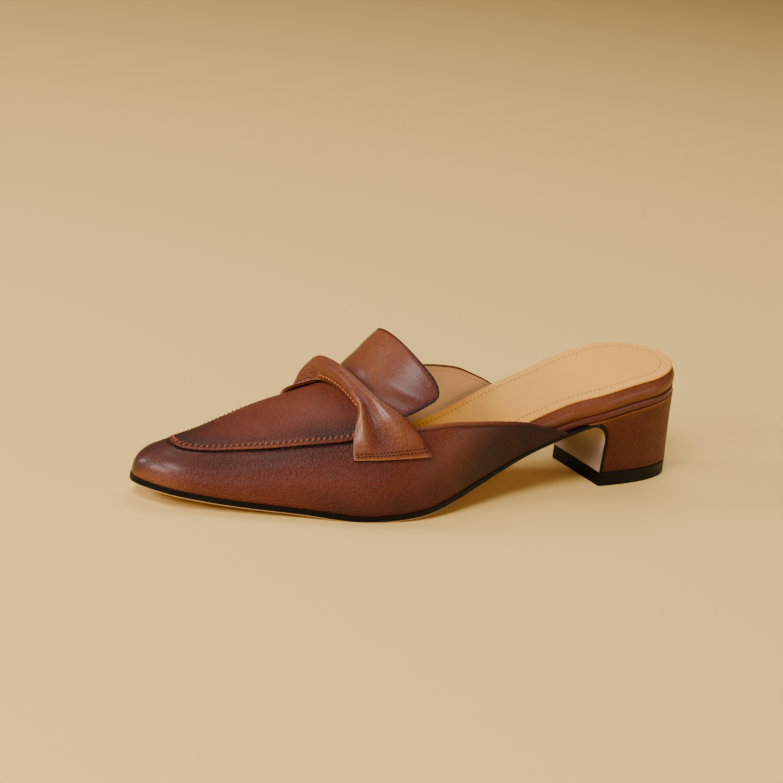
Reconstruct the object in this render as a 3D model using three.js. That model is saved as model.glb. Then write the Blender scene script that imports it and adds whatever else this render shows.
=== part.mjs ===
// Heeled leather mule for the left foot: pointed toe, apron front, twisted saddle strap and raised tongue.
// Millimetres, +Z up, toe towards -X, outer (lateral) side towards -Y, standing on its heel and ball.
import * as THREE from 'three';
import { mergeVertices } from 'three/addons/utils/BufferGeometryUtils.js';

// Last: the foot form that sole and upper both follow
const lastLength = 249.5;
const ballWidth = 76;
const seatHeight = 39.4;
const toeSpring = 7.2;
const instepHeight = 49;
const heelRound = 26;
const toeRound = 14;
const noseRound = 19;
const noseSquareness = 2.5;

// Sole unit
const soleThickness = 2.2;
const waistThickness = 1.6;
const treadFlat = 0.6;
const soleMargin = 0.5;
const soleBevel = 0.9;
const soleEdgeShare = 0.6;
const liftFront = 44.3;
const breastFoot = 43.4;
const breastLean = 2.7;
const breastRadius = 9.6;
const flapThickness = 1.2;
const breastHollow = 0.5;
const liftThickness = 6.2;
const heelBaseWidth = 38;
const heelBaseRound = 43;
const heelBaseSquareness = 2.2;
const heelBaseShift = -2.8;
const heelLip = 0.7;
const heelSteps = 14;

// Footbed
const boardThickness = 2.6;
const bedThickness = 7.4;
const bedBulge = 1.6;
const sockThickness = 0.9;
const sockMargin = 1.6;
const boardRound = 0.3;
const boardThinnest = 0.55;
const bedMargin = 0.4;
const bedClearance = 0.8;
const bedColumns = 3;

// Upper
const upperWall = 1.8;
const apronThickness = 1.2;
const apronEdgeShare = 0.65;
const apronEdgeFrom = 0.85;
const strapThickness = 1.6;
const strapRoll = 8.5;
const strapSquareness = 2.2;
const strapClearance = 1.8;
const strapStepFrom = 0.51;
const strapStepTo = 0.63;
const strapLiftFrom = 0.5;
const strapLiftTo = 0.9;
const strapHollowTo = 0.75;
const tongueThickness = 1.8;
const tongueReach = 21.7;
const tongueLift = 20.7;
const tongueWidth = 58.3;
const tongueDropOuter = 17;
const tongueDropInner = 12.8;
const tongueSweep = 11.7;
const tongueShift = 2;

// Space left between neighbouring pieces
const gap = 0.3;

// Sections of the last. at: share of the length from heel to toe. half: share of half the ball width.
// swing: sideways place of the middle, share of the ball width. seat and spring: how far the sole's top
// is up the heel and the toe spring. crown: height over the sole, share of the instep height.
// crest: sideways place of the ridge over the middle, share of the ball width. round: section's exponent.
const sections = [
  { at: 0.00, half: 0.665, swing: 0.045, seat: 1.000, spring: 0.00, crown: 1.20, crest: 0.000, round: 2.0 },
  { at: 0.10, half: 0.708, swing: 0.021, seat: 0.927, spring: 0.00, crown: 1.22, crest: 0.005, round: 2.0 },
  { at: 0.22, half: 0.688, swing: -0.010, seat: 0.759, spring: 0.00, crown: 1.24, crest: 0.020, round: 2.0 },
  { at: 0.34, half: 0.673, swing: -0.041, seat: 0.523, spring: 0.00, crown: 1.23, crest: 0.035, round: 2.0 },
  { at: 0.46, half: 0.745, swing: -0.088, seat: 0.247, spring: 0.00, crown: 1.16, crest: 0.050, round: 2.0 },
  { at: 0.58, half: 0.965, swing: -0.074, seat: 0.043, spring: 0.00, crown: 0.99, crest: 0.066, round: 2.05 },
  { at: 0.68, half: 0.990, swing: -0.013, seat: 0.000, spring: 0.00, crown: 0.77, crest: 0.052, round: 2.15 },
  { at: 0.76, half: 0.880, swing: 0.034, seat: 0.000, spring: 0.22, crown: 0.60, crest: 0.026, round: 2.2 },
  { at: 0.88, half: 0.613, swing: 0.060, seat: 0.000, spring: 0.49, crown: 0.36, crest: 0.006, round: 2.2 },
  { at: 1.00, half: 0.270, swing: 0.073, seat: 0.000, spring: 1.00, crown: 0.235, crest: 0.000, round: 2.3 },
];

// Topline of the upper, which stands higher on the inner side. outer and inner: place round the section
// on that side, 0 on the ridge and 1 at the sole.
const topline = [
  { at: 0.622, outer: 0.000, inner: 0.000 },
  { at: 0.620, outer: 0.460, inner: 0.400 },
  { at: 0.606, outer: 0.520, inner: 0.440 },
  { at: 0.573, outer: 0.552, inner: 0.475 },
  { at: 0.530, outer: 0.600, inner: 0.515 },
  { at: 0.466, outer: 0.700, inner: 0.575 },
  { at: 0.428, outer: 0.755, inner: 0.640 },
  { at: 0.392, outer: 0.810, inner: 0.710 },
  { at: 0.353, outer: 0.865, inner: 0.800 },
  { at: 0.319, outer: 0.920, inner: 0.875 },
  { at: 0.268, outer: 1.000, inner: 1.000 },
];

// Edge of the apron, from its tip to where it runs under the strap.
const apronEdge = [
  { at: 0.939, around: 0.00 },
  { at: 0.938, around: 0.08 },
  { at: 0.934, around: 0.17 },
  { at: 0.924, around: 0.23 },
  { at: 0.901, around: 0.29 },
  { at: 0.863, around: 0.35 },
  { at: 0.788, around: 0.45 },
  { at: 0.735, around: 0.48 },
  { at: 0.657, around: 0.50 },
];

// Saddle strap, from its sewn foot on the outer side (across -1) over the ridge to the one on the inner
// side (across 1). The twist sets its middle askew. front and back: shares of the length. low and high:
// place round the section of the front and the back edge. rise: share of the roll's height. peak: where
// the roll is highest, 0 at the front edge and 1 at the back edge.
const strapSections = [
  { across: -1.00, front: 0.687, back: 0.563, low: -0.640, high: -0.730, rise: 0.00, peak: 0.30 },
  { across: -0.92, front: 0.687, back: 0.570, low: -0.600, high: -0.675, rise: 0.08, peak: 0.20 },
  { across: -0.85, front: 0.685, back: 0.577, low: -0.550, high: -0.620, rise: 0.13, peak: 0.20 },
  { across: -0.78, front: 0.682, back: 0.585, low: -0.510, high: -0.565, rise: 0.20, peak: 0.20 },
  { across: -0.62, front: 0.673, back: 0.606, low: -0.430, high: -0.445, rise: 0.35, peak: 0.25 },
  { across: -0.45, front: 0.660, back: 0.625, low: -0.310, high: -0.315, rise: 0.55, peak: 0.38 },
  { across: -0.25, front: 0.662, back: 0.635, low: -0.170, high: -0.165, rise: 0.76, peak: 0.48 },
  { across: 0.00, front: 0.666, back: 0.639, low: 0.000, high: 0.000, rise: 0.95, peak: 0.50 },
  { across: 0.20, front: 0.672, back: 0.641, low: 0.140, high: 0.140, rise: 1.07, peak: 0.52 },
  { across: 0.35, front: 0.689, back: 0.638, low: 0.245, high: 0.250, rise: 1.04, peak: 0.52 },
  { across: 0.45, front: 0.699, back: 0.633, low: 0.310, high: 0.320, rise: 0.90, peak: 0.52 },
  { across: 0.58, front: 0.705, back: 0.620, low: 0.400, high: 0.420, rise: 0.52, peak: 0.55 },
  { across: 0.75, front: 0.701, back: 0.600, low: 0.500, high: 0.530, rise: 0.24, peak: 0.50 },
  { across: 0.90, front: 0.697, back: 0.578, low: 0.590, high: 0.640, rise: 0.08, peak: 0.40 },
  { across: 1.00, front: 0.694, back: 0.566, low: 0.640, high: 0.710, rise: 0.00, peak: 0.30 },
];

// Tongue. Its root is tucked under the strap at tuck and hugs the upper as far round as hug. run: share
// of the length that it would cover lying down. leave: share of its length where its middle leaves the
// upper. leaveOuter and leaveInner: how much later its sides do. bend: share of its length in which they do.
// arc: half its curve's angle.
const tongueTuck = 0.652;
const tongueHug = 0.464;
const tongueRun = 0.11;
const tongueLeave = 0.04;
const tongueLeaveOuter = 0.57;
const tongueLeaveInner = 0.35;
const tongueBend = 0.27;
const tongueArc = 0.49;
const tongueRootWidth = 0.91;
const tongueCorner = 0.15;
const tongueCornerFrom = 0.78;
const tongueThinTo = 0.55;
const tongueThickFrom = 0.85;

// Where the footbed draws in to pass behind the wings of the upper
const wingStart = 0.19;
const wingEnd = 0.262;

// Shares of the length where the sole grows from its waist to its tread, and the board thins
const waistEnd = 0.3;
const treadStart = 0.6;
const boardThinFrom = 0.3;
const boardThinTo = 0.7;

// Rows of the upper lie closer towards the toe
const upperCrowding = 1.7;

// Helpers
const clamp01 = (v) => Math.min(1, Math.max(0, v));
const lerp = (a, b, m) => a + (b - a) * m;
const smooth = (a, b, v) => {
  const m = clamp01((v - a) / (b - a));
  return m * m * (3 - 2 * m);
};
const dome = (v, power) => (1 - (1 - clamp01(v)) ** power) ** (1 / power);

// A fair curve through one column of a table, with even bending.
function fair(table, key, value) {
  const x = table.map((row) => row[key]);
  const y = table.map((row) => row[value]);
  const bends = y.map(() => 0);
  const weights = y.map(() => 0);
  for (let i = 1; i < x.length - 1; i += 1) {
    const before = x[i] - x[i - 1];
    const after = x[i + 1] - x[i];
    const turn = 6 * ((y[i + 1] - y[i]) / after - (y[i] - y[i - 1]) / before);
    const pivot = 2 * (before + after) - before * weights[i - 1];
    weights[i] = after / pivot;
    bends[i] = (turn - before * bends[i - 1]) / pivot;
  }
  for (let i = x.length - 2; i > 0; i -= 1) bends[i] -= weights[i] * bends[i + 1];
  return (at) => {
    let i = 0;
    while (i < x.length - 2 && at > x[i + 1]) i += 1;
    const h = x[i + 1] - x[i];
    const b = clamp01((at - x[i]) / h);
    const a = 1 - b;
    return a * y[i] + b * y[i + 1] + ((a ** 3 - a) * bends[i] + (b ** 3 - b) * bends[i + 1]) * h * h / 6;
  };
}

// A smooth curve through one column of a table that never passes its rows.
function column(table, key, value) {
  const x = table.map((row) => row[key]);
  const y = table.map((row) => row[value]);
  const forward = x[0] < x[x.length - 1] ? 1 : -1;
  const chord = y.slice(1).map((v, i) => (v - y[i]) / (x[i + 1] - x[i]));
  const slope = y.map((v, i) => {
    const before = chord[Math.max(0, i - 1)];
    const after = chord[Math.min(chord.length - 1, i)];
    return before * after <= 0 ? 0 : (2 * before * after) / (before + after);
  });
  return (at) => {
    let i = 0;
    while (i < x.length - 2 && (at - x[i + 1]) * forward > 0) i += 1;
    const h = x[i + 1] - x[i];
    const m = clamp01((at - x[i]) / h);
    const m2 = m * m;
    const m3 = m2 * m;
    return (2 * m3 - 3 * m2 + 1) * y[i] + (m3 - 2 * m2 + m) * h * slope[i]
      + (3 * m2 - 2 * m3) * y[i + 1] + (m3 - m2) * h * slope[i + 1];
  };
}

const share = {};
for (const key of ['half', 'swing', 'crown', 'crest', 'round']) share[key] = fair(sections, 'at', key);
for (const key of ['seat', 'spring']) share[key] = column(sections, 'at', key);
const halfWidth = (at) => share.half(at) * ballWidth / 2;
const middle = (at) => share.swing(at) * ballWidth;
const crest = (at) => share.crest(at) * ballWidth;
const crown = (at) => share.crown(at) * instepHeight;
const ballRise = soleThickness + treadFlat / 2;
const rise = (at) => ballRise + share.seat(at) * (seatHeight - ballRise) + share.spring(at) * toeSpring;

// Closed mesh: equal points are merged, empty faces dropped, and the faces all turned outwards.
function solid(name, material, points, faces) {
  const geometry = new THREE.BufferGeometry();
  geometry.setAttribute('position', new THREE.Float32BufferAttribute(points.flat(), 3));
  geometry.setIndex(faces.flat());
  const merged = mergeVertices(geometry, 2e-3);
  const old = merged.getIndex().array;
  const kept = [];
  for (let i = 0; i < old.length; i += 3) {
    const [a, b, c] = [old[i], old[i + 1], old[i + 2]];
    if (a !== b && b !== c && c !== a) kept.push([a, b, c]);
  }
  const corner = (i) => new THREE.Vector3().fromBufferAttribute(merged.getAttribute('position'), i);
  const volume = kept.reduce((sum, [a, b, c]) => sum + corner(a).dot(corner(b).cross(corner(c))), 0);
  merged.setIndex((volume < 0 ? kept.map((face) => [...face].reverse()) : kept).flat());
  merged.computeVertexNormals();
  const mesh = new THREE.Mesh(merged, material);
  mesh.name = name;
  return mesh;
}

// Each ring goes across the top, then back across the bottom, with as many points each way.
function loft(name, material, rings) {
  const size = rings[0].length;
  const points = rings.flat();
  const faces = [];
  for (let i = 0; i < rings.length - 1; i += 1) {
    for (let j = 0; j < size; j += 1) {
      const next = (j + 1) % size;
      const [a, b, c, d] = [i * size + j, i * size + next, (i + 1) * size + next, (i + 1) * size + j];
      faces.push([a, b, c], [a, c, d]);
    }
  }
  const cap = (start, flip) => {
    for (let j = 0; j < size / 2 - 1; j += 1) {
      const quad = [start + j, start + j + 1, start + size - 2 - j, start + size - 1 - j];
      const order = flip ? [0, 3, 2, 1] : [0, 1, 2, 3];
      const [a, b, c, d] = order.map((k) => quad[k]);
      faces.push([a, b, c], [a, c, d]);
    }
  };
  cap(0, true);
  cap((rings.length - 1) * size, false);
  return solid(name, material, points, faces);
}

// A wall between an outer and an inner grid of the same size, closed along its four edges.
function shell(name, material, outer, inner) {
  const rings = outer.map((row, i) => [...row, ...[...inner[i]].reverse()]);
  return loft(name, material, rings);
}

// Point on the last. around: -1 at the outer side's sole edge, 0 on the ridge, 1 at the inner side's.
function lastPoint(at, around, inset = 0) {
  const toTip = (1 - at) * lastLength - inset;
  const narrow = dome(toTip / toeRound, 2) * dome(at * lastLength / heelRound, 2);
  const width = (halfWidth(at) - inset) * narrow;
  const height = (crown(at) - inset) * dome(toTip / noseRound, noseSquareness);
  const angle = (1 - Math.abs(around)) * Math.PI / 2;
  const power = 2 / share.round(at);
  const out = Math.max(0, Math.cos(angle)) ** power;
  const up = Math.max(0, Math.sin(angle)) ** power;
  const ridge = middle(at) + crest(at) * narrow;
  const edge = middle(at) + Math.sign(around) * width;
  return [-at * lastLength, lerp(ridge, edge, out), rise(at) + gap + height * up];
}

// The same point moved out along the surface's normal.
function overLast(at, around, out) {
  const step = 1e-3;
  const v = (p) => new THREE.Vector3(...p);
  const along = v(lastPoint(at + step, around)).sub(v(lastPoint(at - step, around)));
  const across = v(lastPoint(at, around + step)).sub(v(lastPoint(at, around - step)));
  const normal = across.cross(along).normalize();
  return v(lastPoint(at, around)).addScaledVector(normal, out).toArray();
}

// Plan outline of the last at its sole edge, moved out by grow. side: -1 outer, 1 inner.
function planPoint(at, side, grow) {
  const half = (s) => halfWidth(s) * dome((1 - s) * lastLength / toeRound, 2)
    * dome(s * lastLength / heelRound, 2);
  const point = (s) => [-s * lastLength, middle(s) + side * half(s)];
  const end = Math.sqrt(0.5) * 1e-3;
  const s0 = clamp01(at - end);
  const s1 = clamp01(at + end);
  const [p0, p1, p] = [point(s0), point(s1), point(at)];
  let normal = [side * (p1[1] - p0[1]), side * (p0[0] - p1[0])];
  if (at <= 0) normal = [1, 0];
  if (at >= 1) normal = [-1, 0];
  const size = Math.hypot(...normal);
  return [p[0] + normal[0] / size * grow, p[1] + normal[1] / size * grow];
}

// Stations along the shoe that lie closer towards its rounded ends
function stations(from, to, count, roundFrom, roundTo) {
  return Array.from({ length: count + 1 }, (_, i) => {
    const m = i / count;
    if (roundFrom && roundTo) return lerp(from, to, (1 - Math.cos(Math.PI * m)) / 2);
    if (roundFrom) return lerp(from, to, 1 - Math.cos(Math.PI * m / 2));
    if (roundTo) return lerp(from, to, Math.sin(Math.PI * m / 2));
    return lerp(from, to, m);
  });
}

// Leather and rubber finishes
const leather = (color, roughness) => new THREE.MeshStandardMaterial({ color, roughness, metalness: 0 });
const upperLeather = leather(0x8a4a24, 0.42);
const apronLeather = leather(0x93501f, 0.42);
const strapLeather = leather(0x8c4c26, 0.38);
const heelLeather = leather(0x7d4323, 0.45);
const soleLeather = leather(0xcdb497, 0.6);
const sockLeather = leather(0xd9ae72, 0.65);
const liftRubber = leather(0x141416, 0.5);

// Breast: the back face of the sole where it leaves the seat and turns down in front of the heel.
// The bend's centre lies one radius under the seat and one radius before the leaning face.
const seatSlope = (x) => Math.atan2(rise((-x - 1) / lastLength) - rise((-x + 1) / lastLength), 2);
const faceTilt = Math.atan2(breastLean, seatHeight - liftThickness);
const bend = { x: -breastFoot - breastRadius, z: seatHeight / 2, tilt: 0 };
for (let i = 0; i < 12; i += 1) {
  const back = breastFoot + (bend.z - liftThickness) * Math.tan(faceTilt);
  bend.x = -back - breastRadius / Math.cos(faceTilt);
  bend.tilt = seatSlope(bend.x);
  bend.startX = bend.x - breastRadius * Math.sin(bend.tilt);
  bend.z = rise(-bend.startX / lastLength) - breastRadius * Math.cos(bend.tilt);
}

// Points down the breast's back face, each with its normal: the bend first, then the straight face.
function breastLine(bendSteps, faceSteps, lowest, out) {
  const line = [];
  const reach = breastRadius + out;
  for (let i = 0; i <= bendSteps; i += 1) {
    const angle = lerp(Math.PI / 2 + bend.tilt, faceTilt, i / bendSteps);
    const normal = [Math.cos(angle), Math.sin(angle)];
    line.push({ x: bend.x + normal[0] * reach, z: bend.z + normal[1] * reach, normal });
  }
  const { x, z, normal } = line[bendSteps];
  for (let i = 1; i <= faceSteps; i += 1) {
    const down = (z - lowest) * i / faceSteps;
    line.push({ x: x + down * Math.tan(faceTilt), z: z - down, normal });
  }
  return line;
}

// Side of the heel in plan. level: 0 at its foot and 1 at the seat.
function heelSide(x, level, side) {
  const foot = heelBaseShift + side * heelBaseWidth / 2 * dome(-x / heelBaseRound, heelBaseSquareness);
  const at = clamp01(-x / lastLength);
  const seat = middle(at) + side * halfWidth(at) * dome(-x / heelRound, 2);
  return lerp(foot, seat, clamp01(level));
}
const seatLevel = (x, z) => (z - liftThickness) / (rise(-x / lastLength) - liftThickness);

// Outsole: a thin plate under the upper that turns down over the heel's breast
const layerDepth = { top: 0, edge: soleEdgeShare, bottom: 1 };
function outsole() {
  const columns = 4;
  const bendSteps = 6;
  const rings = [];
  const ring = (place) => {
    const top = [];
    const bottom = [];
    for (let i = 0; i <= columns; i += 1) top.push(place(lerp(-1, 1, i / columns), 'top'));
    for (let i = columns; i >= 0; i -= 1) bottom.push(place(lerp(-1, 1, i / columns), 'bottom'));
    rings.push([place(-1, 'edge'), ...top, place(1, 'edge'), ...bottom]);
  };
  const startAt = -bend.startX / lastLength;
  for (const at of stations(1, startAt, 36, true, false)) {
    const margin = soleMargin * smooth(startAt, treadStart, at);
    const thick = lerp(waistThickness, soleThickness + treadFlat, smooth(waistEnd, treadStart, at));
    const tilt = seatSlope(-at * lastLength);
    ring((m, level) => {
      const grow = level === 'bottom' ? margin - soleBevel : margin;
      const depth = layerDepth[level] * thick;
      const [nearX, nearY] = planPoint(at, -1, grow);
      const [farX, farY] = planPoint(at, 1, grow);
      const x = lerp(nearX, farX, (m + 1) / 2);
      const z = rise(clamp01(-x / lastLength));
      const low = Math.max(0, z - Math.cos(tilt) * depth);
      return [x + Math.sin(tilt) * depth, lerp(nearY, farY, (m + 1) / 2), low];
    });
  }
  const line = breastLine(bendSteps, 5, liftThickness + gap, 0).slice(1);
  line.forEach(({ x, z, normal }, i) => {
    const down = clamp01((bend.z - z) / (bend.z - liftThickness));
    const hollow = breastHollow * Math.sin(Math.PI * down);
    const turned = Math.min(1, (i + 1) / bendSteps);
    const thick = lerp(waistThickness, flapThickness, turned);
    ring((m, level) => {
      const depth = layerDepth[level] * (thick - hollow * (1 - m * m));
      const inset = level === 'bottom' ? soleBevel * (1 - turned) : 0;
      const near = heelSide(x, seatLevel(x, z), -1) + inset;
      const far = heelSide(x, seatLevel(x, z), 1) - inset;
      return [x - normal[0] * depth, lerp(near, far, (m + 1) / 2), z - normal[1] * depth];
    });
  });
  return loft('outsole', soleLeather, rings);
}

// One ring of the heel: along the outer side to the back, and along the inner side to the front
function heelRing(frontX, height, level) {
  const near = [];
  const far = [];
  for (let i = 0; i <= heelSteps; i += 1) {
    const x = lerp(frontX, 0, Math.sin(Math.PI / 2 * i / heelSteps));
    near.push([x, heelSide(x, level, -1), height(x)]);
    far.push([x, heelSide(x, level, 1), height(x)]);
  }
  return [...near, ...far.reverse()];
}

// Heel: a block with a flat front and a round back that grows from its foot to the seat
function heelBlock() {
  const front = breastLine(9, 5, liftThickness + gap, gap)
    .filter(({ x, z }) => rise(-x / lastLength) - z > heelLip)
    .reverse();
  const rings = front.map(({ x: frontX, z: frontZ }) => {
    const level = (frontZ - liftThickness) / (rise(-frontX / lastLength) - liftThickness);
    return heelRing(frontX, (x) => lerp(liftThickness, rise(-x / lastLength), level), level);
  });
  const last = front[front.length - 1];
  rings.push(heelRing(last.x, (x) => rise(-x / lastLength), 1));
  return loft('heel', heelLeather, rings);
}

// Top-lift: the black wearing piece that the heel stands on, flush with the breast
function topLift() {
  const rings = [0, liftThickness].map((z) => heelRing(-liftFront, () => z, 0));
  return loft('top_lift', liftRubber, rings);
}

// How far the pieces inside the shoe stay in from the last's outline, at a height over the sole
function bedInset(at, height) {
  const inside = smooth(wingStart, wingEnd, at);
  const lean = halfWidth(at) * (1 - Math.sqrt(1 - Math.min(0.9, height / (crown(at) - upperWall)) ** 2));
  return lerp(bedMargin, upperWall + bedClearance + lean, inside);
}

// A layer of the footbed. rows: its side from bottom to top, each with a height and how far it stands in.
function layer(name, material, to, rows) {
  const rings = stations(0, to, 34, true, true).map((at) => {
    const [near, far] = [-1, 1].map((side) => rows(at).map(({ height, inset }) => {
      const [x, y] = planPoint(at, side, -inset - bedInset(at, height));
      return [x, y, rise(clamp01(-x / lastLength)) + height];
    }));
    const across = (a, b) => Array.from({ length: bedColumns - 1 }, (_, i) => (
      a.map((v, k) => lerp(v, b[k], (i + 1) / bedColumns))
    ));
    const high = near.length - 1;
    const top = [...near, ...across(near[high], far[high])];
    const bottom = [...[...far].reverse(), ...across(far[0], near[0])];
    return [...top, ...bottom];
  });
  return loft(name, material, rings);
}

// Shares of the footbed's thickness along the shoe: a soft heel pad that thins towards the toe
const bedShare = column([
  { at: 0.00, thick: 1.00 },
  { at: 0.30, thick: 1.00 },
  { at: 0.45, thick: 0.78 },
  { at: 0.60, thick: 0.42 },
  { at: 0.80, thick: 0.22 },
  { at: 1.00, thick: 0.16 },
], 'at', 'thick');
const boardShare = (at) => lerp(1, boardThinnest, smooth(boardThinFrom, boardThinTo, at));
const boardTop = (at) => gap + boardThickness * boardShare(at);
const bedTop = (at) => boardTop(at) + gap + bedThickness * bedShare(at);

function insoleBoard() {
  const rows = (at) => [
    { height: gap, inset: boardRound },
    { height: lerp(gap, boardTop(at), 0.5), inset: 0 },
    { height: boardTop(at), inset: boardRound },
  ];
  return layer('insole_board', heelLeather, 0.985, rows);
}

// The footbed's side swells out most a little under its middle
function footbed() {
  const turn = [0, 0.12, 0.32, 0.6, 0.85, 1];
  const widest = 0.42;
  const rows = (at) => turn.map((m) => ({
    height: lerp(boardTop(at) + gap, bedTop(at), m),
    inset: bedBulge * (2 * Math.abs(m - widest)) ** 2,
  }));
  return layer('footbed', heelLeather, 0.97, rows);
}

function sock() {
  const rows = (at) => [
    { height: bedTop(at) + gap, inset: sockMargin },
    { height: bedTop(at) + gap + sockThickness, inset: sockMargin },
  ];
  return layer('sock', sockLeather, 0.955, rows);
}

// Upper: one hollow wall over the last, open at its topline, at the back and underneath
const toplineOuter = column(topline, 'outer', 'at');
const toplineInner = column(topline, 'inner', 'at');
const toplineAt = (around) => (around < 0 ? toplineOuter(-around) : toplineInner(around));
function upper() {
  const around = stations(-1, 1, 36, false, false);
  const along = 24;
  const grid = (inset) => around.map((s) => {
    const tip = 1 - inset / lastLength;
    return Array.from({ length: along + 1 }, (_, i) => {
      const m = (i / along) ** upperCrowding;
      return lastPoint(lerp(tip, toplineAt(s), m), s, inset);
    });
  });
  return shell('upper', upperLeather, grid(0), grid(upperWall));
}

// Apron: an overlay on the toe whose edge stands proud of the upper
function apron() {
  const halfSpan = column(apronEdge, 'at', 'around');
  const tip = apronEdge[0].at;
  const end = apronEdge[apronEdge.length - 1].at;
  const along = stations(tip, end, 22, true, false);
  const across = stations(-1, 1, 14, false, false);
  const face = (out) => along.map((at) => across.map((m) => {
    const round = lerp(1, apronEdgeShare, smooth(apronEdgeFrom, 1, Math.abs(m)));
    return overLast(at, m * halfSpan(at), gap + (out ? apronThickness * round : 0));
  }));
  return shell('apron', apronLeather, face(true).reverse(), face(false).reverse());
}

// Strap: a band that is rolled where it crosses the ridge and fans out flat to a sewn foot on each side
function strap() {
  const keys = ['front', 'back', 'low', 'high', 'rise', 'peak'];
  const of = Object.fromEntries(keys.map((key) => [key, column(strapSections, 'across', key)]));
  const over = (s) => 1 - smooth(strapStepFrom, strapStepTo, Math.abs(s));
  const clearance = (m) => lerp(gap, strapClearance, smooth(strapLiftFrom, strapLiftTo, m));
  const under = (s, m) => gap + (apronThickness + clearance(m)) * over(s);
  const across = stations(-1, 1, 30, false, false);
  const bands = 10;
  const face = (out) => across.map((a) => Array.from({ length: bands + 1 }, (_, i) => {
    const m = i / bands;
    const at = lerp(of.front(a), of.back(a), m);
    const s = lerp(of.low(a), of.high(a), m);
    const skew = m ** (Math.log(0.5) / Math.log(of.peak(a)));
    const roll = dome(1 - Math.abs(2 * skew - 1), strapSquareness);
    const proud = (strapRoll - strapThickness) * of.rise(a) * roll;
    const inside = proud * smooth(strapLiftFrom, strapHollowTo, m);
    return overLast(at, s, under(s, m) + (out ? strapThickness + proud : inside));
  }));
  return shell('strap', strapLeather, face(true), face(false));
}

// Tongue: a stiff sheet tucked under the strap that stands up over the instep and flares backwards
function tongue() {
  const root = lastPoint(tongueTuck, 0);
  const across = stations(-1, 1, 16, true, true);
  const along = stations(0, 1, 12, false, false);
  const place = (q, r, out) => {
    const hugAt = tongueTuck - tongueRun * r;
    const hugging = overLast(hugAt, q * tongueHug, gap + out);
    const bow = (1 - Math.cos(q * tongueArc)) / (1 - Math.cos(tongueArc));
    const half = tongueWidth / 2 * lerp(tongueRootWidth, 1, r);
    const drop = q < 0 ? tongueDropOuter : tongueDropInner;
    const free = [
      root[0] + tongueReach * r + tongueSweep * q * q * r,
      tongueShift + Math.sin(q * tongueArc) / Math.sin(tongueArc) * half,
      root[2] + tongueLift * r - drop * bow,
    ];
    const leave = tongueLeave + (q < 0 ? tongueLeaveOuter * q ** 2 : tongueLeaveInner * q ** 4);
    const m = smooth(leave, leave + tongueBend, r);
    return hugging.map((v, k) => lerp(v, free[k], m));
  };
  const sheet = (q, v, out) => {
    const toEdge = (1 - Math.abs(q)) / (1 - tongueCornerFrom);
    const r = v * (1 - tongueCorner * (1 - dome(toEdge, 2)));
    const step = 0.01;
    const vec = (p) => new THREE.Vector3(...p);
    const alongIt = vec(place(q, r + step, 0)).sub(vec(place(q, r - step, 0)));
    const acrossIt = vec(place(q + step, r, 0)).sub(vec(place(q - step, r, 0)));
    const normal = alongIt.cross(acrossIt).normalize();
    const thick = lerp(apronThickness, tongueThickness, smooth(tongueThinTo, tongueThickFrom, r));
    return vec(place(q, r, 0)).addScaledVector(normal, out * thick).toArray();
  };
  const face = (out) => along.map((v) => across.map((q) => sheet(q, v, out)));
  return shell('tongue', strapLeather, face(1), face(0));
}

const shoe = new THREE.Group();
shoe.add(outsole(), heelBlock(), topLift(), insoleBoard(), footbed(), sock());
shoe.add(upper(), apron(), strap(), tongue());

// The origin is under the middle of the whole shoe, on the ground.
const box = new THREE.Box3().setFromObject(shoe);
const centre = box.getCenter(new THREE.Vector3());
shoe.position.set(-centre.x, -centre.y, -box.min.z);

export default shoe;
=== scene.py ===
# %% [markdown]
# # A leather mule, from its last to its stitches
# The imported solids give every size. They come in first and stay as they are, because the pieces below are
# dressed over them in the same place.

# %% The frame
import math

import bpy
import numpy as np
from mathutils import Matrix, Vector


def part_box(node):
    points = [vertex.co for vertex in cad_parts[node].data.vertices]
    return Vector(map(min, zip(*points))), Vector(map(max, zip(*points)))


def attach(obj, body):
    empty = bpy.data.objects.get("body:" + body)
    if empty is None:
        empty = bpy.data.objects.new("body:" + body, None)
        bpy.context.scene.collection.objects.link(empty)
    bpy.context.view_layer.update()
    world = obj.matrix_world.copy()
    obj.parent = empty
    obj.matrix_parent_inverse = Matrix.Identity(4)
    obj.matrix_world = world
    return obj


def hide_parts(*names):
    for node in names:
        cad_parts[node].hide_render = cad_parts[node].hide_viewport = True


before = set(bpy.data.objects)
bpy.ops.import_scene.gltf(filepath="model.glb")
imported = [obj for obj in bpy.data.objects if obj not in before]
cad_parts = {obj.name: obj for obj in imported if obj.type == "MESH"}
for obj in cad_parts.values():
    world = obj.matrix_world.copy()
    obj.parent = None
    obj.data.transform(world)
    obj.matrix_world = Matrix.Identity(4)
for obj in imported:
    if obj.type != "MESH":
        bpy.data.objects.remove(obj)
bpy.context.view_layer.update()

print("solids:", sorted(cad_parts))

# %% [markdown]
# ## The last
# A shoe is built over a last, a solid form of the foot. Its sections could be modelled as a mesh and
# snapped to, but curves through a few measured sections give any point on the leather, however fine the
# piece is cut, and they are the same curves as the solids have. All numbers here are in mm, with the heel
# at 0 and the toe towards -X. `at` is the share of the length from heel to toe. `around` is -1 at the outer
# side's sole edge, 0 on the ridge and 1 at the inner side's sole edge.

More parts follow.
